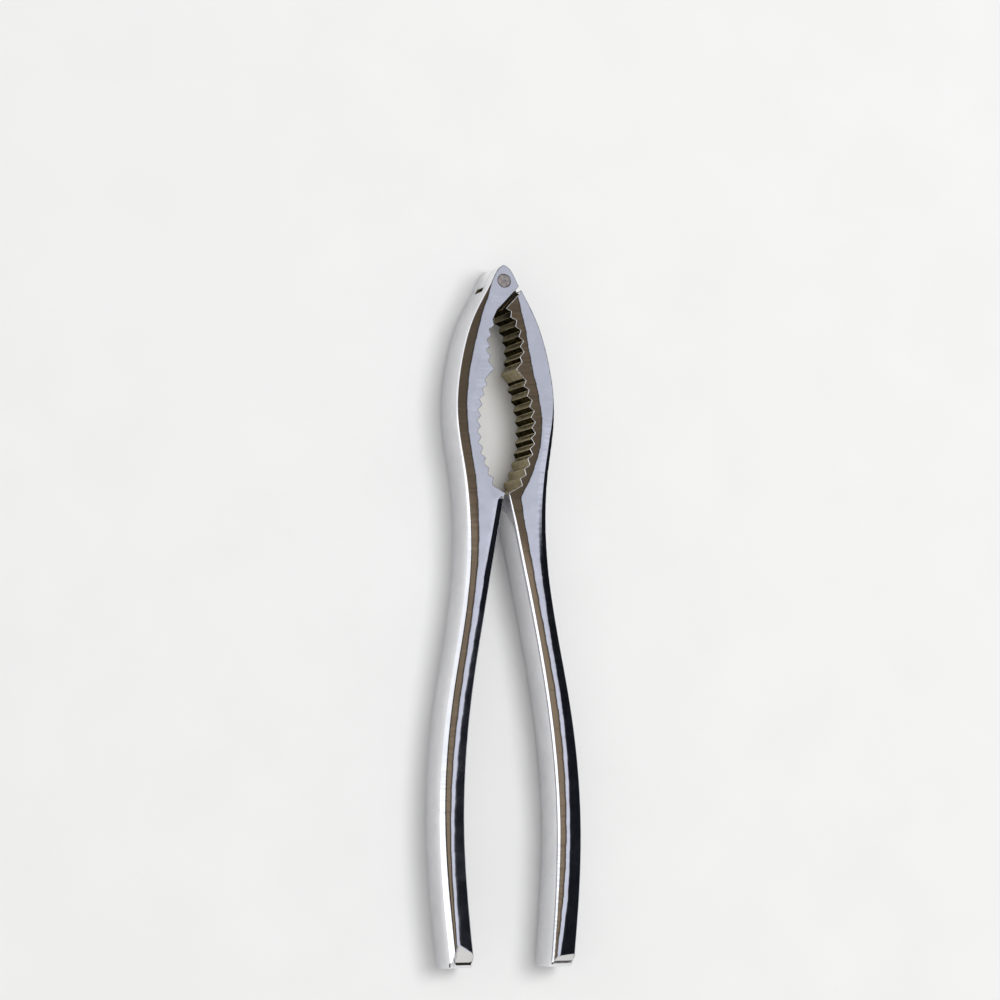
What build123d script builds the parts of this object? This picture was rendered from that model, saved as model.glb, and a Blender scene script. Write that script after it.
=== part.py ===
from build123d import *
import os

# Lobster cracker: two mirror-image cast arms on one flush rivet.
# It lies on its back: +Z is the front face, +Y points to the hinge, and X runs from the fork arm (-X) to
# the tongue arm (+X). The origin is under the middle of the whole tool. All sizes are in millimetres.

# ---- Overall size ----
LENGTH = 178.0             # tip of the hinge to the ends of the handles
THICKNESS = 13.0           # front face to back face
TIP_ABOVE_PIVOT = 4.15     # metal beyond the rivet's centre
PIVOT_Y = LENGTH / 2 - TIP_ABOVE_PIVOT
HANDLE_END = LENGTH - TIP_ABOVE_PIVOT

# ---- Plan of one arm ----
# Every plan point is (distance below the pivot, distance from the axis of the closed tool).
TIP = (-TIP_ABOVE_PIVOT, 0.0)
OUTER_EDGE = [
    TIP, (-3.8, 0.75), (0.0, 3.5), (9.0, 8.3), (21.0, 12.0), (35.0, 13.3), (49.0, 11.55), (62.0, 10.75),
    (80.0, 11.95), (106.0, 16.45), (138.0, 19.25), (HANDLE_END, 16.9),
]
THROAT = (54.35, 0.5)      # where the jaws end and the handles part
INNER_EDGE = [THROAT, (80.0, 5.4), (106.0, 9.85), (138.0, 12.2), (HANDLE_END, 9.9)]

# ---- Teeth ----
TOOTH_DEPTH = 1.05
FIRST_CORNER = (7.1, 0.45)
FIRST_VALLEY = (7.8, 1.9)
UPPER_TIPS = [(9.4, 1.65), (14.2, 3.7), (19.4, 3.95)]     # an arc through the tips of the small teeth
UPPER_COUNT = 5
CUSP_VALLEY_ABOVE = (20.75, 4.6)
CUSP = (22.6, 3.05)        # the one large tooth
CUSP_VALLEY_BELOW = (25.55, 5.6)
LOWER_TIPS = [(26.9, 4.9), (38.6, 6.85), (50.45, 3.6)]
LOWER_COUNT = 10
LAST_VALLEY = (52.4, 4.05)
TOOTH_ROUND = 0.22
TEETH_REACH = 9.0          # every tooth lies nearer to the axis than this

# ---- Hinge ----
EAR = 3.9                  # thickness of each of the fork arm's two ears
SIDE_GAP = 0.1             # between the tongue and each ear
RIVET_R = 1.65
BORE_GAP = 0.05            # running clearance of the tongue on the rivet
RIVET_CHAMFER = 0.25
EAR_CORNER = (1.2, 4.2)    # the ears end on the straight line through these two
EAR_HEEL = (7.5, -1.95)
SHOULDER_CORNER = (2.35, 4.85)     # the tongue arm's full thickness begins on this line
SHOULDER_HEEL = FIRST_CORNER
TONGUE_CORNER = (1.2, -4.2)        # edge of the tongue on the fork arm's side
TONGUE_WAIST = (4.2, -1.6)
TONGUE_TOE = (7.1, -1.6)
FLOOR_CORNER = (2.35, -4.85)       # bottom of the slot that the tongue turns in
FLOOR_HEEL = (8.2, -2.2)

# ---- Rounding ----
EDGE_ROUND = 1.0           # along the outside and inside edges of the arms
END_CORNER = 0.9           # corners of the handle's end, seen from the front
END_ROUND = 4.5            # front and back roll over the handle's end

REACH = 40.0               # longer than any cut has to be
MARGIN = 1.0               # how far a cut runs past a face

os.makedirs("parts", exist_ok=True)


def at(point):
    """Plan position in X and Y."""
    return Vector(point[1], PIVOT_Y - point[0])


def mirrored(point):
    return (point[0], -point[1])


def tooth_row(tips, count):
    """Tooth tips spaced evenly along an arc, with a valley between each two."""
    arc = ThreePointArc(*[Vector(point) for point in tips])
    points = []
    for i in range(count):
        tip = arc @ (i / (count - 1))
        points.append((tip.X, tip.Y))
        if i < count - 1:
            between = (i + 0.5) / (count - 1)
            along = arc % between
            valley = arc @ between + Vector(-along.Y, along.X) * TOOTH_DEPTH
            points.append((valley.X, valley.Y))
    return points


teeth = (
    [FIRST_CORNER, FIRST_VALLEY]
    + tooth_row(UPPER_TIPS, UPPER_COUNT)
    + [CUSP_VALLEY_ABOVE, CUSP, CUSP_VALLEY_BELOW]
    + tooth_row(LOWER_TIPS, LOWER_COUNT)
    + [LAST_VALLEY, THROAT]
)
first_full_valley = teeth[3]


def plan_shape(points):
    """A flat face through plan points."""
    with BuildSketch() as shape:
        with BuildLine():
            Polyline(*[at(point) for point in points], close=True)
        make_face()
    return shape.sketch


def hinge_side(first, second):
    """Everything on the hinge's side of the straight line through two plan points."""
    start = at(first)
    along = (at(second) - start).normalized() * REACH
    across = Vector(-along.Y, along.X) if along.X > 0 else Vector(along.Y, -along.X)
    with BuildSketch() as region:
        with BuildLine():
            Polyline(start - along, start + along, start + along + across, start - along + across, close=True)
        make_face()
    return region.sketch


# ---- Plan of the right-hand arm, up to the axis at the hinge ----
with BuildSketch() as half_plan:
    with BuildLine():
        Spline(*[at(point) for point in OUTER_EDGE])
        Line(at(OUTER_EDGE[-1]), at(INNER_EDGE[-1]))
        Spline(*[at(point) for point in reversed(INNER_EDGE)])
        Polyline(*[at(point) for point in reversed(teeth)])
        Polyline(at(FIRST_CORNER), at((FIRST_CORNER[0], 0.0)), at(TIP))
    make_face()
    ends = half_plan.vertices().group_by(Axis.Y)[0]
    fillet(ends, radius=END_CORNER)
    sharp = [
        vertex for vertex in half_plan.vertices()
        if at(LAST_VALLEY).Y - MARGIN / 2 < vertex.Y < at(FIRST_VALLEY).Y + MARGIN / 2
        and vertex.X < TEETH_REACH
    ]
    fillet(sharp, radius=TOOTH_ROUND)

straight_jaw = plan_shape([
    EAR_CORNER, EAR_HEEL, mirrored(first_full_valley),
    (first_full_valley[0], REACH), (EAR_CORNER[0], REACH),
])

# The two outlines of each arm: at the ears' level and at the tongue's level.
with BuildSketch() as fork_body:
    add(half_plan.sketch)
    mirror(about=Plane.YZ, mode=Mode.REPLACE)
    add(straight_jaw, mode=Mode.SUBTRACT)

with BuildSketch() as ear_plan:
    add(half_plan.sketch)
    mirror(about=Plane.YZ)
    add(hinge_side(EAR_CORNER, EAR_HEEL), mode=Mode.INTERSECT)

with BuildSketch() as fork_plan:
    add(fork_body.sketch)
    add(ear_plan.sketch)

with BuildSketch() as shoulder_plan:
    add(half_plan.sketch)
    add(hinge_side(SHOULDER_CORNER, SHOULDER_HEEL), mode=Mode.SUBTRACT)

with BuildSketch() as tongue_plan:
    add(half_plan.sketch)
    mirror(about=Plane.YZ)
    add(
        plan_shape([
            TONGUE_CORNER, TONGUE_WAIST, TONGUE_TOE, (TONGUE_TOE[0], REACH),
            (-REACH, REACH), (-REACH, -REACH), (TONGUE_CORNER[0], -REACH),
        ]),
        mode=Mode.INTERSECT,
    )


def soften(edges):
    """Round the long curved edges of an arm, at the front and at the back."""
    long_edges = [edge for edge in edges if edge.length > LENGTH / 2]
    fillet(long_edges, radius=EDGE_ROUND)


def roll_handle_end():
    """Roll the front and the back over the end of the handle."""
    with BuildSketch(Plane.YZ) as corners:
        for height, side in ((END_ROUND, Align.MAX), (THICKNESS - END_ROUND, Align.MIN)):
            with Locations((END_ROUND - LENGTH / 2, height)):
                Rectangle(END_ROUND + MARGIN, END_ROUND + MARGIN, align=(Align.MAX, side))
                Circle(END_ROUND, mode=Mode.SUBTRACT)
    extrude(corners.sketch, amount=REACH, both=True, mode=Mode.SUBTRACT)


# ---- Fork arm: the left-hand arm, with an ear at the front and one at the back ----
with BuildPart() as fork_arm:
    extrude(fork_plan.sketch, amount=THICKNESS)
    soften(fork_arm.edges().filter_by(GeomType.BSPLINE))
    roll_handle_end()
    slot = Pos(0, 0, EAR) * hinge_side(FLOOR_CORNER, FLOOR_HEEL)
    extrude(slot, amount=THICKNESS - 2 * EAR, mode=Mode.SUBTRACT)
    with Locations(at((0, 0))):
        Hole(RIVET_R)
fork_arm.part.label = "fork_arm"
export_step(fork_arm.part, "parts/fork_arm.step")

# ---- Tongue arm: the right-hand arm, with one thick tongue between the ears ----
with BuildPart() as tongue_arm:
    extrude(shoulder_plan.sketch, amount=THICKNESS)
    soften(tongue_arm.edges().filter_by(GeomType.BSPLINE))
    roll_handle_end()
    extrude(
        Pos(0, 0, EAR + SIDE_GAP) * tongue_plan.sketch,
        amount=THICKNESS - 2 * (EAR + SIDE_GAP),
    )
    with Locations(at((0, 0))):
        Hole(RIVET_R + BORE_GAP)
tongue_arm.part.label = "tongue_arm"
export_step(tongue_arm.part, "parts/tongue_arm.step")

# ---- Rivet: a plain pin, flush with both ears, its ends chamfered so that a fine ring shows ----
with BuildPart() as rivet:
    with Locations(at((0, 0))):
        Cylinder(RIVET_R, THICKNESS, align=(Align.CENTER, Align.CENTER, Align.MIN))
    chamfer(rivet.edges().filter_by(GeomType.CIRCLE), length=RIVET_CHAMFER)
rivet.part.label = "rivet"
export_step(rivet.part, "parts/rivet.step")
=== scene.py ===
import math

import bpy
import numpy as np
from mathutils import Matrix, Vector, geometry


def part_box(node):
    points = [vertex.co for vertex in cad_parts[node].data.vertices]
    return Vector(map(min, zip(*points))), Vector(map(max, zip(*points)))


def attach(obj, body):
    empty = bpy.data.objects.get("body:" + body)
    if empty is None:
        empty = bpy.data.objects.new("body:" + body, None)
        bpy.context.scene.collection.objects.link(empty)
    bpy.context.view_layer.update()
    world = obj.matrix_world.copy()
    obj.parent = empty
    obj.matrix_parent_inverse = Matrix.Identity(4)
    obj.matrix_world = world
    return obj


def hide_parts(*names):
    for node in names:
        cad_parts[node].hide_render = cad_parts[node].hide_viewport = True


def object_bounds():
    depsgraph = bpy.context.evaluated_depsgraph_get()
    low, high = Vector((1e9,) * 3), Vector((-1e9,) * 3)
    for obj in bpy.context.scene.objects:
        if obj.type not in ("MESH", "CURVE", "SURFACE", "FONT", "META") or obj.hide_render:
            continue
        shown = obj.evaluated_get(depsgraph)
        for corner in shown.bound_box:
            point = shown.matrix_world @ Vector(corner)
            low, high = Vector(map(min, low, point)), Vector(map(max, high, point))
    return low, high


# Lobster cracker: two chrome-plated cast arms on one rivet. Each detailed mesh replaces a plain CAD piece in
# the same place. Work is in millimetres and ends in metres. Every size comes from the CAD or is named.
#
# Both arms are drawn as the right-hand one, and the fork arm is mirrored at the end. In the tables a point is
# (a, u): a is its distance below the pivot, u its distance from the axis of the closed tool. In the meshes
# x is u and y is -a, until the pivot's own place is added.
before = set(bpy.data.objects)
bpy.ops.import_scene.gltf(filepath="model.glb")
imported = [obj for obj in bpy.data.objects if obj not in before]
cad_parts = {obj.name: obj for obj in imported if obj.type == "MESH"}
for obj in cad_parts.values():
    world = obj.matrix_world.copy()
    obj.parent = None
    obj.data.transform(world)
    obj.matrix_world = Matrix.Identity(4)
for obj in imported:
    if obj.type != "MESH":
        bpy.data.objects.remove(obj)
cad_low, cad_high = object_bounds()
MM = 0.001

rivet_low, rivet_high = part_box("rivet")
THICKNESS = (cad_high.z - cad_low.z) / MM
PIVOT_Y = (rivet_low.y + rivet_high.y) / 2 / MM
RIVET_R = (rivet_high.x - rivet_low.x) / 2 / MM
TIP_A = PIVOT_Y - cad_high.y / MM
END_A = PIVOT_Y - cad_low.y / MM

# ---- Plan of one arm ----
OUTER_EDGE = [
    (TIP_A, 0.0), (-3.8, 0.75), (0.0, 3.5), (9.0, 8.3), (21.0, 12.0), (35.0, 13.3), (49.0, 11.55),
    (62.0, 10.75), (80.0, 11.95), (106.0, 16.45), (138.0, 19.25), (END_A, 16.9),
]
THROAT = (54.35, 0.5)
INNER_EDGE = [THROAT, (80.0, 5.4), (106.0, 9.85), (138.0, 12.2), (END_A, 9.9)]

TOOTH_DEPTH = 1.05
FIRST_CORNER = (7.1, 0.45)
FIRST_VALLEY = (7.8, 1.9)
UPPER_TIPS = [(9.4, 1.65), (14.2, 3.7), (19.4, 3.95)]     # an arc through the tips of the small teeth
UPPER_COUNT = 5
CUSP_VALLEY_ABOVE = (20.75, 4.6)
CUSP = (22.6, 3.05)                # the one large tooth
CUSP_VALLEY_BELOW = (25.55, 5.6)
LOWER_TIPS = [(26.9, 4.9), (38.6, 6.85), (50.45, 3.6)]
LOWER_COUNT = 10
LAST_VALLEY = (52.4, 4.05)
TOOTH_ROUND = 0.36

# ---- Hinge ----
EAR = 3.9
SIDE_GAP = 0.1
EAR_CORNER = (1.2, -4.2)           # the ears end on the line through these two
EAR_HEEL = (7.5, 1.95)
FLOOR_CORNER = (2.35, 4.85)        # bottom of the slot that the tongue turns in
FLOOR_HEEL = (8.2, 2.2)
SHOULDER_CORNER = (2.35, 4.85)     # the tongue arm's full thickness begins between this and the first corner
TONGUE_CORNER = (1.2, -4.2)
TONGUE_WAIST = (4.2, -1.6)
TONGUE_TOE = (7.1, -1.6)
BORE = {"fork": RIVET_R + 0.07, "tongue": RIVET_R + 0.05}
RING_WOBBLE = {"fork": 0.05, "tongue": 0.0}        # the ring that shows round the rivet isn't even
FOOT = 0.15                        # the fillet where the shoulder rises from the tongue
FOOT_GAP = 0.1                     # its row of points ends this far before the first corner

# ---- The faces: a flat land, sloping off to the outer and the inner edge. All are tables by a ----
OUTER_WIDTH = [                    # from the outer edge to the land
    (TIP_A, 0.0), (-1.0, 0.3), (2.0, 0.7), (5.0, 1.4), (10.0, 2.25), (15.0, 2.7), (70.0, 2.75), (80.0, 2.55),
]
OUTER_WIDTH_BELOW = {
    "fork": [(106.0, 2.85), (132.0, 2.75), (157.0, 2.45), (167.0, 2.15), (END_A, 2.1)],
    "tongue": [(106.0, 3.1), (132.0, 3.9), (157.0, 4.1), (167.0, 4.75), (END_A, 5.2)],
}
LAND_JAW = [                       # the inner side of the land, as u
    (4.0, 3.5), (12.0, 5.4), (20.0, 6.75), (30.0, 8.9), (36.0, 9.6), (45.0, 8.3), (50.0, 6.4), (55.4, 3.6),
]
LAND_NECK = [(55.4, 3.6), (60.0, 4.2), (70.0, 5.9)]
LAND_HANDLE = {
    "fork": [
        (81.0, 7.8), (106.0, 12.5), (132.0, 15.5), (145.0, 15.85), (157.0, 15.35), (167.0, 14.75),
        (END_A, 14.1),
    ],
    "tongue": [
        (81.0, 7.8), (106.0, 12.25), (132.0, 14.4), (145.0, 14.2), (157.0, 13.2), (167.0, 11.9),
        (END_A, 11.0),
    ],
}
OUTER_SLOPE = [(TIP_A, 0.14), (40.0, 0.14), (75.0, 0.29), (END_A, 0.29)]
INNER_SLOPE = [(TIP_A, 0.16), (60.0, 0.16), (75.0, 0.28), (END_A, 0.28)]
FORK_JAW_SLOPE = 0.35              # the fork arm's jaw is flatter inside: this share of the slope
JAW_END = (54.0, 72.0)             # the fork arm's inner slope grows to its full size between these
KNEE = 0.26                        # radius of the soft lines beside the land
BEVEL = {                          # width of the narrow bevel along each arm's right-facing edge
    "fork": [(55.0, 0.0), (55.3, 1.1), (56.0, 1.8), (END_A, 1.8)],
    "tongue": [(26.0, 0.0), (40.0, 1.1), (60.0, 1.4), (END_A, 1.4)],
}
BEVEL_SLOPE = [(TIP_A, 0.34), (60.0, 0.3), (85.0, 0.0)]
BEVEL_KNEE = 0.05
BEVEL_FADE = 0.3                   # a bevel narrower than this is shallower too

# ---- Hand polishing: the lines beside the land wander ----
OUTER_WANDER, INNER_WANDER = 0.08, 0.12
WANDER_SEED = {"fork": 1.0, "tongue": 2.6}
INNER_SEED = 1.3                   # added for the line on the inner side
WAVES = [(0.45, 0.83, 1.0), (0.3, 1.94, 2.1), (0.2, 4.3, 3.7)]      # height, pace along the arm, shift
CHATTER = (0.25, 6.1, 1.3, 0.37)   # the same of quick waves, and the pace at which they come and go

# ---- Rounding of the edges: (a, width, depth) ----
OUTER_ROUND = [
    (TIP_A, 0.3, 0.3), (20.0, 0.45, 0.5), (43.0, 0.55, 0.6), (70.0, 1.45, 1.2), (106.0, 1.6, 1.3),
    (132.0, 1.85, 1.4), (END_A, 2.3, 1.6),
]
INNER_ROUND = [
    (54.0, 0.18, 0.18), (56.0, 0.4, 0.5), (62.0, 0.75, 1.0), (80.0, 1.0, 1.25), (145.0, 1.0, 1.25),
    (END_A, 0.75, 1.05),
]
RIGHT_ROUND = [                    # the right-facing edges: the fork arm's inside, the tongue arm's outside
    (TIP_A, 0.3, 0.3), (70.0, 0.3, 0.34), (82.0, 0.4, 0.45), (106.0, 0.6, 0.75), (END_A, 0.7, 0.9),
]
SMALL_ROUND = 0.17                 # along the teeth and the hinge
HOLE_ROUND = 0.14
STEEPEST = 25.0                    # the slope of a rounding at its very edge, in place of a vertical one

# ---- The handles' ends ----
END_CORNER = {"fork": 0.4, "tongue": 0.9}
CORNER_REACH = 1.0                 # the curved edges stop this far above the end, and the corners take over
CORNER_LEAD = 3.0                  # the corners start from points this far above the end
END_ROUND = (0.9, 1.0)             # width and depth of the rounding along the end
END_BLEND = 1.6                    # length over which the sides' rounding gives way to the end's
END_FACET = {                      # a flat cut: length, slope, and its slant inside and outside the ridge
    "fork": (5.75, 0.65, 0.14, 2.4),
    "tongue": (5.7, 0.55, 0.62, 0.62),
}
LOWER_FACET = (1.5, 0.22)          # a second, slightly steeper cut along the very end: length, added slope
END_KNEE = 0.06

# ---- Where the plate shows, and where painted reflection and painted shade take its place ----
PLATE, PAINTED_DIM_REFLECTION, PAINTED_SHADE = 0, 1, 2     # material slots of an arm: bright plate, painted dim olive reflection, painted shade
JAW_WALLS = (6.0, THROAT[0] + 0.2)
JAW_INSIDE = 1.5                   # a wall nearer than this to the outer edge isn't in the jaw
FACES_HANDLES = -0.35              # a wall that faces the handles more than this gets the painted shade
CUSP_SHADE = 24.8                  # the large tooth's lower flank gets the painted shade only below this

# ---- How finely the faces are divided ----
RING_COUNT = 8                     # rows of points over a rounded edge
WIDE_ROUND = 0.3                   # every second row is left out where the edge is narrower
RING_CLEAR = 0.9                   # a point is dropped if an edge is nearer than this share of its way in
CORNER_STEPS, CORNER_STEP = 6, 0.6
HOLE_POINTS = 72
HOLE_RINGS = (0.3, 1.0, 3.0)       # rows of points round the hole, in widths of its rounding
HOLE_CLEAR = 3.6                   # free points begin beyond this
FIRST_ROW, LAST_ROW = TIP_A + 0.3, END_A - 0.1
HINGE_END = EAR_HEEL[0] + 2.0      # rows above this cross the axis
ROW_STEPS = [(56.0, 0.4), (END_A - 7.0, 0.65), (END_A, 0.2)]        # rows down to each a, and their spacing
COLUMN_STEP = 0.42
KNEE_LINES = (-0.4, -0.22, -0.1, 0.0, 0.1, 0.22, 0.4)               # extra points across each soft line
KNEE_CLEAR = 0.5                   # the other points stay this far off it
EDGE_CLEAR = (1.12, 0.02)          # free points stay off a rounding by this share of its width, and this much
FINE_STEP, LONG_STEP, FOOT_STEP = 0.4, 0.5, 0.3
CURVE_STEP = (0.25, 0.5)           # sampling of the outer edge, and of the other curves
SAME_POINT = 0.01
ON_RIM = 0.0001                    # points this close to an edge lie on it
CURVE_GAP = 0.05                   # points of a curve this close to a point of its own are left out
BELOW_THROAT = 0.4                 # the row of teeth begins this far below the throat
SAME_CURVE = 0.7                   # walls that turn by less than the angle with this cosine are one curve
NEAR = 8.0                         # edges further up or down than this can't be the nearest
CHUNK = 200                        # points that are measured at once


def smooth(points, step):
    """A cubic spline through points, sampled evenly."""
    p = np.array(points, float)
    t = np.concatenate([[0.0], np.cumsum(np.linalg.norm(np.diff(p, axis=0), axis=1))])
    h = np.diff(t)
    n = len(p)
    system, right = np.eye(n), np.zeros((n, 2))
    for i in range(1, n - 1):
        system[i, i - 1:i + 2] = h[i - 1], 2 * (h[i - 1] + h[i]), h[i]
        right[i] = 6 * ((p[i + 1] - p[i]) / h[i] - (p[i] - p[i - 1]) / h[i - 1])
    m = np.linalg.solve(system, right)
    s = np.linspace(0.0, t[-1], max(2, round(t[-1] / step) + 1))
    k = np.clip(np.searchsorted(t, s, side="right") - 1, 0, n - 2)
    low, high, span = (s - t[k])[:, None], (t[k + 1] - s)[:, None], h[k][:, None]
    return (
        m[k] * high ** 3 / (6 * span) + m[k + 1] * low ** 3 / (6 * span)
        + (p[k] / span - m[k] * span / 6) * high + (p[k + 1] / span - m[k + 1] * span / 6) * low
    )


def rounded(points, radius, steps=4):
    """An open polyline with its corners rounded, using less than half of each side."""
    most, straight = 0.45, 0.05
    out = [np.array(points[0], float)]
    for before, corner, after in zip(points, points[1:], points[2:]):
        before, corner, after = (np.array(q, float) for q in (before, corner, after))
        one, two = before - corner, after - corner
        long_one, long_two = np.linalg.norm(one), np.linalg.norm(two)
        one, two = one / long_one, two / long_two
        half = math.acos(np.clip(np.dot(one, two), -1, 1)) / 2
        cut = min(radius / math.tan(half), most * long_one, most * long_two) if half > straight else 0.0
        start, end = corner + one * cut, corner + two * cut
        for i in range(steps + 1):
            s = i / steps
            out.append((1 - s) ** 2 * start + 2 * s * (1 - s) * corner + s ** 2 * end)
    out.append(np.array(points[-1], float))
    return np.array(out)


def spread(points, step):
    """A polyline with its long stretches divided."""
    out = [points[0]]
    for start, end in zip(points, points[1:]):
        count = max(1, math.ceil(np.linalg.norm(end - start) / step))
        out += [start + (end - start) * i / count for i in range(1, count + 1)]
    return np.array(out)


def by_a(table, column=1):
    """A value looked up by distance below the pivot."""
    rows = np.array(table, float)
    return lambda a: np.interp(a, rows[:, 0], rows[:, column])


outer_curve = smooth(OUTER_EDGE, CURVE_STEP[0])
inner_curve = smooth(INNER_EDGE, CURVE_STEP[1])
outer_at, inner_at = by_a(outer_curve), by_a(inner_curve)
outer_slope_at, inner_slope_at = by_a(OUTER_SLOPE), by_a(INNER_SLOPE)
bevel_slope_at = by_a(BEVEL_SLOPE)


def wobble(a, seed):
    """A small uneven wander along the arm, as hand polishing leaves."""
    height, pace, shift, beat = CHATTER
    slow = sum(size * np.sin(a * quick + turn * seed) for size, quick, turn in WAVES)
    return slow + height * np.sin(a * pace + shift * seed) * np.sin(a * beat + seed)


def soft(x, radius):
    """x where it is positive and 0 where it is negative, with a soft knee."""
    return 0.5 * (x + np.sqrt(x * x + radius * radius))


def plan(points):
    """Points of the tables, (a, u), as x and y."""
    points = np.asarray(points, float)
    return np.stack([points[:, 1], -points[:, 0]], axis=1)


def tooth_row(tips, count):
    """Tooth tips spaced evenly along the arc through three points, with a valley between each two."""
    (ax, ay), (bx, by), (cx, cy) = tips
    d = 2 * (ax * (by - cy) + bx * (cy - ay) + cx * (ay - by))
    sa, sb, sc = ax * ax + ay * ay, bx * bx + by * by, cx * cx + cy * cy
    middle = np.array([
        (sa * (by - cy) + sb * (cy - ay) + sc * (ay - by)) / d,
        (sa * (cx - bx) + sb * (ax - cx) + sc * (bx - ax)) / d,
    ])
    first, last = (math.atan2(y - middle[1], x - middle[0]) for x, y in (tips[0], tips[2]))
    radius = math.dist(tips[0], middle)
    points = []
    for i in range(2 * count - 1):
        angle = first + (last - first) * i / (2 * count - 2)
        reach = radius + (TOOTH_DEPTH if i % 2 else 0.0)
        points.append((middle[0] + reach * math.cos(angle), middle[1] + reach * math.sin(angle)))
    return points


teeth = (
    [FIRST_CORNER, FIRST_VALLEY] + tooth_row(UPPER_TIPS, UPPER_COUNT)
    + [CUSP_VALLEY_ABOVE, CUSP, CUSP_VALLEY_BELOW] + tooth_row(LOWER_TIPS, LOWER_COUNT)
    + [LAST_VALLEY, THROAT]
)
FORK_TEETH = 3                     # the fork arm's teeth begin with this corner, where its ears end

shoulder_start, shoulder_end = plan([SHOULDER_CORNER, FIRST_CORNER])
shoulder_length = np.linalg.norm(shoulder_end - shoulder_start)
shoulder_way = (shoulder_end - shoulder_start) / shoulder_length
shoulder_to_pivot = np.array([shoulder_way[1], -shoulder_way[0]])


def inside(points, polygon):
    """Which points lie inside a polygon."""
    x, y = points[:, 0], points[:, 1]
    hit = np.zeros(len(points), bool)
    for (x0, y0), (x1, y1) in zip(polygon, np.roll(polygon, -1, axis=0)):
        if y0 != y1:
            crossing = ((y0 > y) != (y1 > y)) & (x < (x1 - x0) * (y - y0) / (y1 - y0) + x0)
            hit ^= crossing
    return hit


def pivot_side(points, start, end):
    """Which points lie on the pivot's side of the straight line from start to end."""
    across = np.array([start[1] - end[1], end[0] - start[0]])
    return (points - start) @ across * np.sign(-start @ across) > 0


class Outline:
    """A closed edge of an arm's plan, with the width and depth of its rounding at each point."""

    def __init__(self):
        self.points, self.width, self.depth = [], [], []

    def add(self, points, width, depth):
        width = np.broadcast_to(width, len(points))
        depth = np.broadcast_to(depth, len(points))
        for p, w, d in zip(points, width, depth):
            if not self.points or np.linalg.norm(self.points[-1] - p) > SAME_POINT:
                self.points.append(np.array(p, float))
                self.width.append(float(w))
                self.depth.append(float(d))

    def add_by_a(self, rows, table):
        """Add rows of (a, u) with their rounding looked up in a table."""
        self.add(plan(rows), by_a(table, 1)(rows[:, 0]), by_a(table, 2)(rows[:, 0]))

    def close(self):
        """Drop a repeated last point, and run anticlockwise."""
        if np.linalg.norm(self.points[-1] - self.points[0]) < SAME_POINT:
            for values in (self.points, self.width, self.depth):
                values.pop()
        points = np.array(self.points)
        following = np.roll(points, -1, axis=0)
        area = np.sum(points[:, 0] * following[:, 1] - following[:, 0] * points[:, 1])
        turn = -1 if area < 0 else 1
        self.points = points[::turn]
        self.width, self.depth = (np.array(v)[::turn] for v in (self.width, self.depth))
        return self


def circle(radius, count, uneven=0.0):
    """A circle, whose radius varies a little if it is given an unevenness."""
    angle = np.linspace(0, 2 * math.pi, count, endpoint=False)
    reach = radius + uneven * (0.6 * np.sin(2 * angle + 0.4) + 0.4 * np.sin(5 * angle + 1.9) + 0.4)
    return np.stack([reach * np.cos(angle), reach * np.sin(angle)], axis=1)


def outer_run(start_a):
    """Points down the outer edge, from start_a to where the end corner begins."""
    a = outer_curve[:, 0]
    rows = outer_curve[(a > start_a + CURVE_GAP) & (a < END_A - CORNER_REACH)]
    return np.concatenate([[[start_a, float(outer_at(start_a))]], rows[::2]])


def add_end(outline, outer_round, inner_round, radius):
    """Add the end of the handle and the inner edge up to the throat, alike on both arms."""
    lead_a = END_A - CORNER_LEAD
    corners = [(a, float(edge(a))) for a, edge in (
        (lead_a, outer_at), (END_A, outer_at), (END_A, inner_at), (lead_a, inner_at),
    )]
    corner = spread(rounded(corners, radius, CORNER_STEPS)[1:-1], CORNER_STEP)
    blend = np.linspace(0, 1, len(corner))
    first, last = np.array(outer_round[-1][1:]), np.array(inner_round[-1][1:])
    hump = np.sin(blend * math.pi) ** 0.5
    ends = first + (last - first) * blend[:, None]
    ends = ends + (np.array(END_ROUND) - ends) * hump[:, None]
    outline.add(plan(corner), ends[:, 0], ends[:, 1])
    rows = inner_curve[::-1]
    rows = rows[rows[:, 0] < END_A - CORNER_REACH]
    outline.add_by_a(rows[:-1], inner_round)


def add_teeth(outline, corners):
    """Add a row of teeth and what leads on from it, upward from just below the throat."""
    row = rounded([INNER_EDGE[1]] + corners, TOOTH_ROUND)[1:]
    row = row[row[:, 0] < THROAT[0] + BELOW_THROAT]
    outline.add(spread(plan(row), FINE_STEP), SMALL_ROUND, SMALL_ROUND)


def fork_outline():
    outline = Outline()
    left = outer_curve[outer_curve[:, 0] < EAR_CORNER[0]][::-1] * (1, -1)
    outline.add_by_a(np.concatenate([[EAR_CORNER], left]), OUTER_ROUND)
    outline.add_by_a(outer_run(TIP_A + 0.1), OUTER_ROUND)
    add_end(outline, OUTER_ROUND, RIGHT_ROUND, END_CORNER["fork"])
    add_teeth(outline, teeth[:FORK_TEETH - 1:-1] + [EAR_HEEL, EAR_CORNER])
    return outline.close()


def tongue_outline():
    outline = Outline()
    outline.add_by_a(outer_run(SHOULDER_CORNER[0]), RIGHT_ROUND)
    add_end(outline, RIGHT_ROUND, INNER_ROUND, END_CORNER["tongue"])
    add_teeth(outline, teeth[::-1] + [SHOULDER_CORNER])
    return outline.close()


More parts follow.
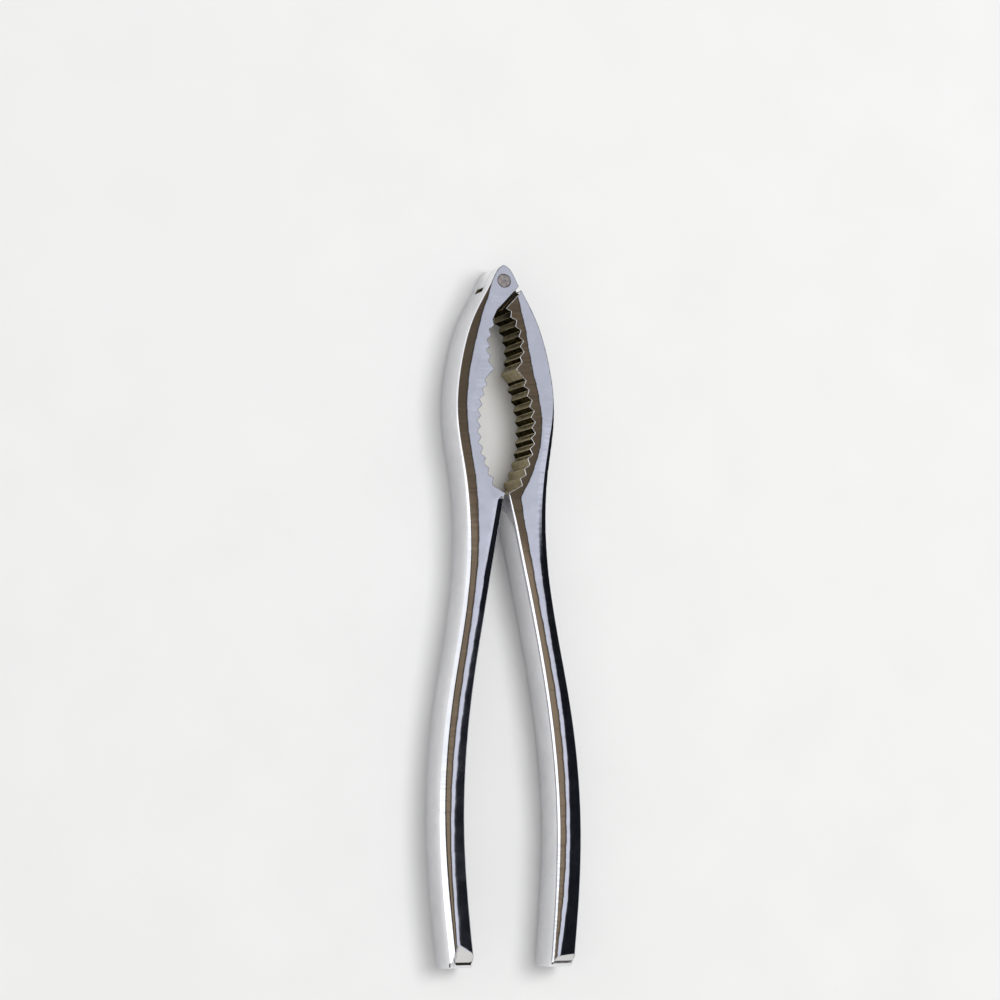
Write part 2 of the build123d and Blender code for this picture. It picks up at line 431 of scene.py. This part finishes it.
class Arm:
    """One arm: a plan cut into triangles, stacked in three slabs between a crowned front and back."""

    def __init__(self, kind, outline, side):
        self.kind, self.side = kind, side
        self.outline = outline
        self.outer_width_at = by_a(OUTER_WIDTH + OUTER_WIDTH_BELOW[kind])
        self.bevel_at = by_a(BEVEL[kind])
        handle = smooth(LAND_NECK + LAND_HANDLE[kind], CURVE_STEP[1])
        self.land_in_at = by_a(np.concatenate([smooth(LAND_JAW, CURVE_STEP[1]), handle[1:]]))
        self.bore = BORE[kind]
        self.hole = circle(self.bore, HOLE_POINTS, RING_WOBBLE[kind])
        # Only the fork's hole opens on the faces. The tongue's is inside the hinge, where nothing is rounded.
        loops = [outline.points] + ([self.hole] if kind == "fork" else [])
        hole = [HOLE_ROUND] * HOLE_POINTS if kind == "fork" else []
        self.starts = np.concatenate(loops)
        self.ends = np.concatenate([np.roll(loop, -1, axis=0) for loop in loops])
        self.width = np.concatenate([outline.width, hole])
        self.depth = np.concatenate([outline.depth, hole])
        self.next_width = np.concatenate([np.roll(outline.width, -1), hole])
        self.next_depth = np.concatenate([np.roll(outline.depth, -1), hole])

    def nearest(self, points):
        """Distance to the edge, the rounding's width and depth there, and the way in from the edge."""
        count = len(points)
        distance, width, depth = np.zeros(count), np.zeros(count), np.zeros(count)
        inward = np.zeros((count, 2))
        along = self.ends - self.starts
        length2 = (along ** 2).sum(1)
        height = self.starts[:, 1]
        order = np.argsort(points[:, 1])
        for low in range(0, count, CHUNK):
            rows = order[low:low + CHUNK]
            q = points[rows, None, :]
            reach = np.nonzero((height > q[:, 0, 1].min() - NEAR) & (height < q[:, 0, 1].max() + NEAR))[0]
            starts, along_near = self.starts[reach], along[reach]
            t = np.clip(((q - starts) * along_near).sum(2) / length2[reach], 0, 1)
            away = q - (starts + t[:, :, None] * along_near)
            d = np.sqrt((away ** 2).sum(2))
            best = d.argmin(1)
            k = np.arange(len(best))
            part, i = t[k, best], reach[best]
            distance[rows] = d[k, best]
            width[rows] = self.width[i] * (1 - part) + self.next_width[i] * part
            depth[rows] = self.depth[i] * (1 - part) + self.next_depth[i] * part
            inward[rows] = away[k, best] / np.maximum(d[k, best], 1e-9)[:, None]
        return distance, width, depth, inward

    # ---- The shape of the face ----
    def crown(self, points):
        """How far the face lies below the land, apart from the rounded edges."""
        u, a = points[:, 0], -points[:, 1]
        seed = WANDER_SEED[self.kind]
        outer_line = outer_at(a) - self.outer_width_at(a) + OUTER_WANDER * wobble(a, seed)
        inner_line = self.land_in_at(a) + INNER_WANDER * wobble(a, seed + INNER_SEED)
        inner = inner_slope_at(a) * soft(inner_line - u, KNEE)
        if self.kind == "fork":
            t = np.clip((a - JAW_END[0]) / (JAW_END[1] - JAW_END[0]), 0, 1)
            inner = inner * (FORK_JAW_SLOPE + (1 - FORK_JAW_SLOPE) * t * t * (3 - 2 * t))
        edge = u - inner_at(a) if self.kind == "fork" else outer_at(a) - u
        bevel = self.bevel_at(a)
        bevel = bevel_slope_at(a) * soft(bevel - edge, BEVEL_KNEE) * np.clip(bevel / BEVEL_FADE, 0, 1)
        return outer_slope_at(a) * soft(u - outer_line, KNEE) + inner + bevel

    def facet(self, points):
        """How far the flat cut across the handle's end lies below the land."""
        u, a = points[:, 0], -points[:, 1]
        length, slope, inner_slant, outer_slant = END_FACET[self.kind]
        ridge = outer_at(END_A) - (OUTER_WIDTH_BELOW[self.kind][-1][1] if self.kind == "fork" else 0.0)
        start = END_A - length + inner_slant * np.maximum(ridge - u, 0)
        start = start + outer_slant * np.maximum(u - ridge, 0)
        return slope * (a - start) + LOWER_FACET[1] * soft(a - (END_A - LOWER_FACET[0]), END_KNEE)

    def face(self, points, rim_inward):
        """How far the face lies below the land at each point, and its gradient there."""
        step = 0.02
        distance, width, depth, inward = self.nearest(points)
        q = np.clip(1 - distance / width, 0, 1)
        fall = depth * (1 - np.sqrt(1 - q * q))
        # The rounding belongs to a side above the end of the handle, and to the end below it.
        at_end = np.clip((-points[:, 1] - END_A + 2 * END_BLEND) / END_BLEND, 0, 1)
        crown, facet = self.crown(points), self.facet(points)
        over = facet - (crown + fall * (1 - at_end))
        drop = crown + fall * (1 - at_end) + soft(over, END_KNEE) + fall * at_end
        share = 0.5 * (1 + over / np.sqrt(over * over + END_KNEE * END_KNEE))
        gradient = []
        for way in ((step, 0), (0, step)):
            on_crown = (self.crown(points + way) - self.crown(points - way)) / (2 * step)
            on_facet = (self.facet(points + way) - self.facet(points - way)) / (2 * step)
            gradient.append(on_crown * (1 - share) + on_facet * share)
        on_rim = distance < ON_RIM
        inward[on_rim] = rim_inward[on_rim]
        steep = np.minimum(depth / width * q / np.sqrt(np.maximum(1 - q * q, 1e-6)), STEEPEST)
        steep = steep * ((1 - at_end) * (1 - share) + at_end)
        return drop, np.stack(gradient, axis=1) - steep[:, None] * inward

    def foot(self, points):
        """Height of the small fillet where the shoulder rises from the tongue."""
        return np.clip(FOOT - np.abs((points - shoulder_start) @ shoulder_to_pivot), 0, FOOT)

    # ---- The points of the plan ----
    def slot_line(self):
        """The edge inside the hinge: the fork's slot floor, or the whole outline of the tongue."""
        if self.kind == "fork":
            before = np.array(FLOOR_CORNER) * 2 - FLOOR_HEEL
            after = np.array(FLOOR_HEEL) * 2 - FLOOR_CORNER
            return spread(plan([before, FLOOR_HEEL, after]), FINE_STEP)
        a = outer_curve[:, 0]
        left = outer_curve[a < TONGUE_CORNER[0]][::-1] * (1, -1)
        right = outer_curve[(a < SHOULDER_CORNER[0]) & (a > TIP_A + CURVE_GAP)]
        shoulder = [(SHOULDER_CORNER[0], float(outer_at(SHOULDER_CORNER[0])))]
        underside = [FIRST_CORNER, TONGUE_TOE, TONGUE_WAIST, TONGUE_CORNER]
        self.tongue = plan(np.concatenate([underside, left, right, shoulder]))
        return spread(self.tongue, LONG_STEP)

    def edge_rings(self):
        """Rows of points over the rounded edges, closer together towards the edge."""
        edge, width = self.outline.points, self.outline.width
        along = np.roll(edge, -1, axis=0) - np.roll(edge, 1, axis=0)
        inward = np.stack([-along[:, 1], along[:, 0]], axis=1)
        inward /= np.linalg.norm(inward, axis=1)[:, None]
        rings = []
        for i in range(1, RING_COUNT + 1):
            part = 1 - math.cos(i * math.pi / (2 * RING_COUNT))
            some = width > WIDE_ROUND if i % 2 else np.ones(len(edge), bool)
            ring = (edge + inward * (width * part)[:, None])[some]
            found = self.nearest(ring)[0]
            rings.append(ring[found > RING_CLEAR * part * width[some]])
        if self.kind == "tongue":
            along_foot = np.arange(FOOT_STEP, shoulder_length - FOOT_GAP, FOOT_STEP)[:, None] * shoulder_way
            rings.append(shoulder_start + along_foot + FOOT * shoulder_to_pivot)
        for part in HOLE_RINGS:
            rings.append(self.hole * ((self.bore + HOLE_ROUND * part) / self.bore))
        return rings

    def free_points(self):
        """Points in lines along the soft knees, and in staggered rows over the rest of the face."""
        lines, fill = [], []
        a = FIRST_ROW
        while a < LAST_ROW:
            right = float(outer_at(a))
            left = -right if a < HINGE_END else 0.0
            knees = [float(outer_at(a) - self.outer_width_at(a)), float(self.land_in_at(a))]
            bevel = float(self.bevel_at(a))
            if bevel > 0 and float(bevel_slope_at(a)) > 0:
                knees.append(float(inner_at(a)) + bevel if self.kind == "fork" else right - bevel)
            for knee in knees:
                lines += [(knee + side, -a) for side in KNEE_LINES]
            shift = COLUMN_STEP / 2 if round(a * 10) % 2 else 0.0
            for u in np.arange(left, right, COLUMN_STEP) + shift:
                if min(abs(u - knee) for knee in knees) > KNEE_CLEAR:
                    fill.append((u, -a))
            a += next(step for until, step in ROW_STEPS if a < until)
        free = np.array(lines + fill)
        keep = inside(free, self.outline.points)
        if self.kind == "tongue":
            keep |= inside(free, self.tongue)
        distance, width, _, _ = self.nearest(free)
        keep &= distance > width * EDGE_CLEAR[0] + EDGE_CLEAR[1]
        keep &= np.linalg.norm(free, axis=1) > self.bore + HOLE_ROUND * HOLE_CLEAR
        return free[keep]

    def triangles(self):
        """The plan's points and triangles, and which of the three slabs each triangle fills."""
        fixed = [self.outline.points, self.hole, self.slot_line()]
        closed = [True, True, self.kind == "tongue"]
        edges, start = [], 0
        for loop, is_closed in zip(fixed, closed):
            n = len(loop)
            edges += [(start + i, start + i + 1) for i in range(n - 1)]
            if is_closed:
                edges.append((start + n - 1, start))
            start += n
        points = np.concatenate(fixed + self.edge_rings() + [self.free_points()])
        made = geometry.delaunay_2d_cdt([Vector(p) for p in points], edges, [], 0, 1e-5)
        verts = np.array([tuple(v) for v in made[0]])
        faces = np.array(made[2])
        centre = verts[faces].mean(1)
        slabs = np.zeros((len(faces), 3), bool)
        slabs[inside(centre, self.outline.points)] = True
        if self.kind == "fork":
            slabs[:, 1] &= ~pivot_side(centre, *plan([FLOOR_CORNER, FLOOR_HEEL]))
        else:
            slabs[:, 1] |= inside(centre, self.tongue)
        slabs[inside(centre, self.hole)] = False
        used = slabs.any(1)
        faces, slabs = faces[used], slabs[used]
        one, two = (verts[faces[:, i]] - verts[faces[:, 0]] for i in (1, 2))
        flip = one[:, 0] * two[:, 1] < two[:, 0] * one[:, 1]
        faces[flip] = faces[flip][:, ::-1]
        return verts, faces, slabs

    # ---- Materials of the inner faces ----
    def slot_kind(self, corners):
        """The material of a flat in the hinge: painted dim reflection on the fork, painted shade on the
        tongue, but plated on the fillet under the shoulder.
        """
        if self.kind == "fork":
            return PAINTED_DIM_REFLECTION
        return PLATE if self.foot(corners).max() > SAME_POINT else PAINTED_SHADE

    def wall_kind(self, middle, facing, in_hinge):
        """The material of a wall: painted dim reflection or painted shade in the jaw and in the fork's slot,
        plated everywhere else.
        """
        u, a = middle * (1, -1)
        in_jaw = JAW_WALLS[0] <= a < JAW_WALLS[1] and u < float(outer_at(a)) - JAW_INSIDE
        painted = self.kind == "fork" if in_hinge else in_jaw
        if not painted:
            return PLATE
        # Walls facing the handles get the painted shade, the others the painted dim reflection.
        dark = facing < FACES_HANDLES and not CUSP[0] < a < CUSP_SHADE
        return PAINTED_SHADE if dark else PAINTED_DIM_REFLECTION

    # ---- The solid ----
    def build(self, name, materials):
        verts, faces, slabs = self.triangles()
        owners = {}
        for t, (i, j, k) in enumerate(faces):
            owners[i, j] = owners[j, k] = owners[k, i] = t

        def across(i, j):
            """The outward normal of the wall from point i to point j."""
            way = verts[j] - verts[i]
            return np.array([way[1], -way[0]]) / np.linalg.norm(way)

        rim = {}
        for (i, j), t in owners.items():
            other = owners.get((j, i))
            if slabs[t][2] and (other is None or not slabs[other][2]):
                for k in (i, j):
                    rim.setdefault(k, []).append(across(i, j))
        rim_inward = np.zeros_like(verts)
        for i, found in rim.items():
            mean = -np.sum(found, axis=0)
            rim_inward[i] = mean / max(np.linalg.norm(mean), 1e-9)

        def wall_normal(k, own):
            """The outward normal at one end of a wall, smoothed along the edge where it is a curve."""
            mean = np.sum([n for n in rim.get(k, [own]) if np.dot(n, own) > SAME_CURVE] or [own], axis=0)
            mean = mean / np.linalg.norm(mean)
            return mean[0], mean[1], 0.0

        drop, gradient = self.face(verts, rim_inward)
        middle = THICKNESS / 2
        slot = middle - EAR - (SIDE_GAP if self.kind == "tongue" else 0.0)
        half = np.minimum(slot, 0.5 * (middle - drop))
        if self.kind == "tongue":
            half = half + self.foot(verts)
        heights = [drop, middle - half, middle + half, THICKNESS - drop]
        up = np.concatenate([gradient, np.ones((len(verts), 1))], axis=1)
        up /= np.linalg.norm(up, axis=1)[:, None]
        count = len(verts)
        flat = np.array([0.0, 0.0, 1.0])
        polygons, normals, kinds = [], [], []
        for t, face in enumerate(faces):
            for s in np.nonzero(slabs[t])[0]:
                if s == 2 or not slabs[t][s + 1]:
                    polygons.append([i + (s + 1) * count for i in face])
                    normals.append([up[i] if s == 2 else flat for i in face])
                    kinds.append(PLATE if s == 2 else self.slot_kind(verts[face]))
                if s == 0 or not slabs[t][s - 1]:
                    polygons.append([i + s * count for i in face[::-1]])
                    normals.append([up[i] * (1, 1, -1) if s == 0 else -flat for i in face[::-1]])
                    kinds.append(PLATE if s == 0 else self.slot_kind(verts[face]))
                for i, j in zip(face, np.roll(face, -1)):
                    other = owners.get((j, i))
                    if other is not None and slabs[other][s]:
                        continue
                    at_i, at_j = (wall_normal(k, across(i, j)) for k in (i, j))
                    polygons.append([i + s * count, j + s * count, j + (s + 1) * count, i + (s + 1) * count])
                    normals.append([at_i, at_j, at_j, at_i])
                    facing = (at_i[1] + at_j[1]) / 2
                    kinds.append(self.wall_kind((verts[i] + verts[j]) / 2, facing, other is not None))
        points = np.concatenate([
            np.stack([verts[:, 0] * self.side, verts[:, 1] + PIVOT_Y, h], axis=1) for h in heights
        ]) * MM
        if self.side < 0:
            polygons = [polygon[::-1] for polygon in polygons]
            normals = [[np.array(n) * (-1, 1, 1) for n in corners[::-1]] for corners in normals]
        used = sorted({i for polygon in polygons for i in polygon})
        order = {old: new for new, old in enumerate(used)}
        polygons = [[order[i] for i in polygon] for polygon in polygons]
        obj = add_object(name, [tuple(points[i]) for i in used], polygons, materials)
        obj.data.polygons.foreach_set("material_index", kinds)
        obj.data.normals_split_custom_set([tuple(n) for corners in normals for n in corners])
        return obj


def add_object(name, points, polygons, materials):
    """A smooth-shaded object made of these points and polygons."""
    mesh = bpy.data.meshes.new(name)
    mesh.from_pydata(points, [], polygons)
    mesh.polygons.foreach_set("use_smooth", [True] * len(mesh.polygons))
    mesh.update()
    for material in materials:
        mesh.materials.append(material)
    obj = bpy.data.objects.new(name, mesh)
    bpy.context.scene.collection.objects.link(obj)
    return obj


RIVET_PROFILE = [                  # (share of the radius, depth), from the middle of the peened face outward
    (0.0, 0.0), (0.3, 0.0), (0.6, 0.005), (0.8, 0.012), (0.88, 0.03), (0.93, 0.07), (0.965, 0.13),
    (0.98, 0.224),
]
RIVET_POINTS = 96


def make_rivet():
    """A peened pin: a faintly uneven face, a soft rim, and a plain shank between."""
    count = RIVET_POINTS
    angle = np.linspace(0, 2 * math.pi, count, endpoint=False)
    uneven = 0.012 * np.sin(3 * angle + 0.5) + 0.008 * np.sin(7 * angle + 1.0)
    rows = [(r, THICKNESS - d) for r, d in RIVET_PROFILE[1:]] + [(r, d) for r, d in RIVET_PROFILE[:0:-1]]
    points, faces = [], []
    for r, z in rows:
        for t, extra in zip(angle, uneven):
            reach = RIVET_R * r * (1 + extra * min(1.0, r * r))
            points.append((reach * math.cos(t) * MM, (reach * math.sin(t) + PIVOT_Y) * MM, z * MM))
    top, bottom = len(points), len(points) + 1
    points += [(0.0, PIVOT_Y * MM, THICKNESS * MM), (0.0, PIVOT_Y * MM, 0.0)]
    last = (len(rows) - 1) * count
    for k in range(len(rows) - 1):
        for i in range(count):
            j = (i + 1) % count
            faces.append((k * count + i, (k + 1) * count + i, (k + 1) * count + j, k * count + j))
    for i in range(count):
        j = (i + 1) % count
        faces.append((top, i, j))
        faces.append((bottom, last + j, last + i))
    return add_object("rivet_pin", points, faces, [steel])


# ---- Materials ----
class Nodes:
    """A node tree, with short ways to add to it."""

    def __init__(self, tree):
        self.tree = tree
        tree.nodes.clear()

    def add(self, kind, **values):
        node = self.tree.nodes.new(kind)
        for key, value in values.items():
            setattr(node, key, value)
        return node

    def link(self, source, target):
        self.tree.links.new(source, target)

    def noise(self, where, scale, detail=2.0, roughness=0.5):
        node = self.add("ShaderNodeTexNoise")
        node.inputs["Scale"].default_value = scale
        node.inputs["Detail"].default_value = detail
        node.inputs["Roughness"].default_value = roughness
        self.link(where, node.inputs["Vector"])
        return node.outputs["Fac"]

    def math(self, operation, first, second=None):
        node = self.add("ShaderNodeMath", operation=operation)
        for socket, value in zip(node.inputs, (first, second)):
            if isinstance(value, (int, float)):
                socket.default_value = value
            elif value is not None:
                self.link(value, socket)
        return node.outputs[0]

    def spread(self, value, low, high, to_low, to_high):
        node = self.add("ShaderNodeMapRange")
        self.link(value, node.inputs["Value"])
        for key, number in (("From Min", low), ("From Max", high), ("To Min", to_low), ("To Max", to_high)):
            node.inputs[key].default_value = number
        return node.outputs["Result"]

    def ramp(self, value, stops):
        node = self.add("ShaderNodeValToRGB")
        elements = node.color_ramp.elements
        while len(elements) < len(stops):
            elements.new(0.5)
        for element, (place, colour) in zip(elements, stops):
            element.position = place
            element.color = (*colour, 1.0)
        self.link(value, node.inputs["Fac"])
        return node.outputs["Color"]

    def mix(self, factor, first, second, blend="MIX"):
        node = self.add("ShaderNodeMix", data_type="RGBA", blend_type=blend)
        self.link(factor, node.inputs["Factor"])
        for key, value in (("A", first), ("B", second)):
            if isinstance(value, tuple):
                node.inputs[key].default_value = (*value, 1.0)
            else:
                self.link(value, node.inputs[key])
        return node.outputs["Result"]

    def bump(self, height, strength, distance, before=None):
        node = self.add("ShaderNodeBump")
        node.inputs["Strength"].default_value = strength
        node.inputs["Distance"].default_value = distance
        self.link(height, node.inputs["Height"])
        if before is not None:
            self.link(before, node.inputs["Normal"])
        return node.outputs["Normal"]


GRAIN_SCALE, PIT_SCALE, WAVE_SCALE = 3800.0, 420.0, 170.0
PIT_EDGE = (0.03, 0.09)            # a pit is deepest inside the first distance, and ends at the second
PIT_TONE = (0.35, 0.33, 0.33)
WHITE_TINT, NO_TINT = (1.0, 1.0, 1.0), (0.0, 0.0, 0.0)


def new_material(name):
    """A material with an empty shader, and its nodes."""
    material = bpy.data.materials.new(name)
    material.use_nodes = True
    nodes = Nodes(material.node_tree)
    shader = nodes.add("ShaderNodeBsdfPrincipled")
    output = nodes.add("ShaderNodeOutputMaterial")
    nodes.link(shader.outputs["BSDF"], output.inputs["Surface"])
    return material, nodes, shader


def metal(name, light, dark, rough, wave, grain, pits, cloud_scale, tint=WHITE_TINT):
    """Plated or bare metal: cloudy tone, uneven polish, a slight wave, fine grain and scattered pits."""
    material, nodes, shader = new_material(name)
    shader.inputs["Metallic"].default_value = 1.0
    shader.inputs["Specular Tint"].default_value = (*tint, 1.0)
    where = nodes.add("ShaderNodeTexCoord").outputs["Object"]
    cloud = nodes.noise(where, cloud_scale, 4.0, 0.6)
    fine = nodes.noise(where, GRAIN_SCALE, 3.0, 0.6)

    cells = nodes.add("ShaderNodeTexVoronoi")
    cells.inputs["Scale"].default_value = PIT_SCALE
    nodes.link(where, cells.inputs["Vector"])
    chance = nodes.add("ShaderNodeSeparateColor")
    nodes.link(cells.outputs["Color"], chance.inputs[0])
    chosen = nodes.math("GREATER_THAN", chance.outputs[0], 1.0 - pits)
    pit = nodes.math("MULTIPLY", chosen, nodes.spread(cells.outputs["Distance"], *PIT_EDGE, 1.0, 0.0))

    tone = nodes.ramp(nodes.spread(cloud, 0.3, 0.7, 0.0, 1.0), [(0.0, dark), (1.0, light)])
    nodes.link(nodes.mix(pit, tone, PIT_TONE, "MULTIPLY"), shader.inputs["Base Color"])
    uneven = nodes.math("ADD", nodes.math("MULTIPLY", cloud, 0.6), nodes.math("MULTIPLY", fine, 0.4))
    polish = nodes.spread(uneven, 0.35, 0.65, *rough)
    nodes.link(nodes.math("ADD", polish, nodes.math("MULTIPLY", pit, 0.3)), shader.inputs["Roughness"])
    waves = nodes.bump(nodes.noise(where, WAVE_SCALE, 1.0, 0.4), wave, 0.0002)
    grains = nodes.bump(fine, grain, 0.00002, waves)
    sunk = nodes.bump(nodes.math("SUBTRACT", 1.0, pit), 0.5, 0.00008, grains)
    nodes.link(sunk, shader.inputs["Normal"])
    return material


chrome = metal(
    "chrome_plate", light=(0.85, 0.85, 0.865), dark=(0.77, 0.77, 0.79), rough=(0.05, 0.11),
    wave=0.18, grain=0.25, pits=0.10, cloud_scale=220.0,
)
# Painted reflection and shade: a dim olive plate standing in for a yellowish surround seen darkened in the
# tooth flanks and in the fork's slot.
painted_dim_reflection = metal(
    "chrome_painted_dim_reflection", light=(0.52, 0.44, 0.25), dark=(0.29, 0.24, 0.13), rough=(0.24, 0.42),
    wave=0.6, grain=0.6, pits=0.15, cloud_scale=700.0,
)
# Painted shade: nearly black, with no specular tint so that even its grazing reflection is gone. It goes on
# the tooth flanks facing the handles and on the tongue's floor in the hinge gap.
painted_shade = metal(
    "chrome_painted_shade", light=(0.12, 0.10, 0.055), dark=(0.015, 0.013, 0.008), rough=(0.4, 0.6),
    wave=0.6, grain=0.6, pits=0.15, cloud_scale=700.0, tint=NO_TINT,
)
steel = metal(
    "rivet_steel", light=(0.92, 0.85, 0.80), dark=(0.42, 0.37, 0.34), rough=(0.38, 0.55),
    wave=0.8, grain=1.2, pits=0.4, cloud_scale=1100.0,
)

# ---- The pieces ----
fork = Arm("fork", fork_outline(), -1).build("fork_arm_cast", [chrome, painted_dim_reflection, painted_shade])
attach(fork, "fork")
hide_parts("fork_arm")
tongue = Arm("tongue", tongue_outline(), 1).build("tongue_arm_cast", [chrome, painted_dim_reflection, painted_shade])
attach(tongue, "tongue")
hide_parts("tongue_arm")
pin = make_rivet()
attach(pin, "fork")
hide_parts("rivet")

# ---- Floor ----
FLOOR = 6.0
FLOOR_GAP = 0.00005                # the floor is this far below the tool
floor_mesh = bpy.data.meshes.new("floor")
floor_mesh.from_pydata(
    [(-FLOOR, -FLOOR, 0), (FLOOR, -FLOOR, 0), (FLOOR, FLOOR, 0), (-FLOOR, FLOOR, 0)], [], [(0, 1, 2, 3)]
)
floor = bpy.data.objects.new("floor", floor_mesh)
floor.location.z = -FLOOR_GAP
bpy.context.scene.collection.objects.link(floor)
paper, nodes, shader = new_material("floor_paper")
shader.inputs["Roughness"].default_value = 0.9
shader.inputs["Specular IOR Level"].default_value = 0.1
where = nodes.add("ShaderNodeTexCoord").outputs["Object"]
tone = nodes.ramp(nodes.noise(where, 40.0), [(0.3, (0.86, 0.86, 0.855)), (0.7, (0.88, 0.88, 0.875))])
nodes.link(tone, shader.inputs["Base Color"])
floor_mesh.materials.append(paper)

# ---- Light: a studio of plain panels, seen in the chrome as one tone after another from left to right ----
WHITE, CREAM = (1.15, 1.17, 1.22), (0.76, 0.75, 0.73)
BROWN, TAN, DARK = (0.104, 0.079, 0.054), (0.213, 0.164, 0.116), (0.03, 0.025, 0.02)
LAVENDER, BLACK = (0.55, 0.572, 0.67), (0.006, 0.007, 0.01)
FILL = (0.62, 0.62, 0.62)          # what the panels shed on anything that doesn't mirror them
PANELS = [                         # degrees from straight up, to the right, and the tone there
    (-180, WHITE), (-33, WHITE), (-30, DARK), (-20, DARK), (-17, TAN), (-7, TAN), (-2, BROWN), (6, BROWN),
    (9, DARK), (13, DARK), (17, LAVENDER), (44, LAVENDER), (49, BLACK), (84, BLACK), (86, LAVENDER),
    (180, WHITE),
]
FADE = (0.065, 0.105, 1.25, 0.96)  # towards the hinge the panels dim between two directions, from and to this
FRONT = (-0.3, -0.55)              # between these directions, towards the handles, the front panel takes over
FRONT_TILT = 0.3                   # the front panel's lower edge slants by this
FRONT_EDGE = (0.33, 0.40)          # the front panel is dark below this height, and cream above
world = bpy.data.worlds.new("studio")
bpy.context.scene.world = world
world.use_nodes = True
nodes = Nodes(world.node_tree)
direction = nodes.add("ShaderNodeSeparateXYZ")
nodes.link(nodes.add("ShaderNodeTexCoord").outputs["Generated"], direction.inputs["Vector"])
right, ahead, up = (direction.outputs[axis] for axis in "XYZ")
place = nodes.spread(nodes.math("ARCTAN2", right, up), -math.pi, math.pi, 0.0, 1.0)
lit = nodes.add("ShaderNodeVectorMath", operation="SCALE")
nodes.link(nodes.ramp(place, [((degrees + 180) / 360, colour) for degrees, colour in PANELS]), lit.inputs[0])
nodes.link(nodes.spread(ahead, *FADE), lit.inputs["Scale"])
slanted = nodes.math("ADD", up, nodes.math("MULTIPLY", right, FRONT_TILT))
front = nodes.ramp(nodes.spread(slanted, *FRONT_EDGE, 0.0, 1.0), [(0.0, DARK), (1.0, CREAM)])
studio = nodes.mix(nodes.spread(ahead, *FRONT, 0.0, 1.0), lit.outputs[0], front)
seen = nodes.mix(nodes.add("ShaderNodeLightPath").outputs["Is Glossy Ray"], FILL, studio)
background = nodes.add("ShaderNodeBackground")
nodes.link(seen, background.inputs["Color"])
output = nodes.add("ShaderNodeOutputWorld")
nodes.link(background.outputs["Background"], output.inputs["Surface"])

lamp_data = bpy.data.lights.new("overhead", "AREA")
lamp_data.shape = "DISK"
lamp_data.size = 0.8
lamp_data.energy = 11.0
lamp = bpy.data.objects.new("overhead", lamp_data)
lamp.location = (0.42, 0.25, 1.5)
lamp.rotation_euler = (-lamp.location).to_track_quat("-Z", "Y").to_euler()
lamp.visible_glossy = False
bpy.context.scene.collection.objects.link(lamp)

# ---- Camera: in front of the lying tool, to its left and a little towards the handle ends ----
VIEW_LEFT, VIEW_DOWN, ROLL = math.radians(20.5), math.radians(4.4), math.radians(-0.83)
DISTANCE, LENS, SENSOR = 1.0525, 150.0, 36.0
AIM = Vector((-0.0021, 0.02865, 0.0))              # from the middle of the front face
centre = (cad_low + cad_high) / 2
face_centre = Vector((centre.x, centre.y, cad_high.z))
toward = Vector((-math.tan(VIEW_LEFT), -math.tan(VIEW_DOWN), 1.0)).normalized()
camera_data = bpy.data.cameras.new("camera")
camera_data.lens = LENS
camera_data.sensor_width = SENSOR
camera = bpy.data.objects.new("camera", camera_data)
camera.location = face_centre + toward * DISTANCE
back = (camera.location - (face_centre + AIM)).normalized()
side = Vector((0, 1, 0)).cross(back).normalized()
turned = Matrix((side, back.cross(side), back)).transposed() @ Matrix.Rotation(ROLL, 3, "Z")
camera.rotation_euler = turned.to_euler()
bpy.context.scene.collection.objects.link(camera)
bpy.context.scene.camera = camera
bpy.context.scene.view_settings.view_transform = "Standard"
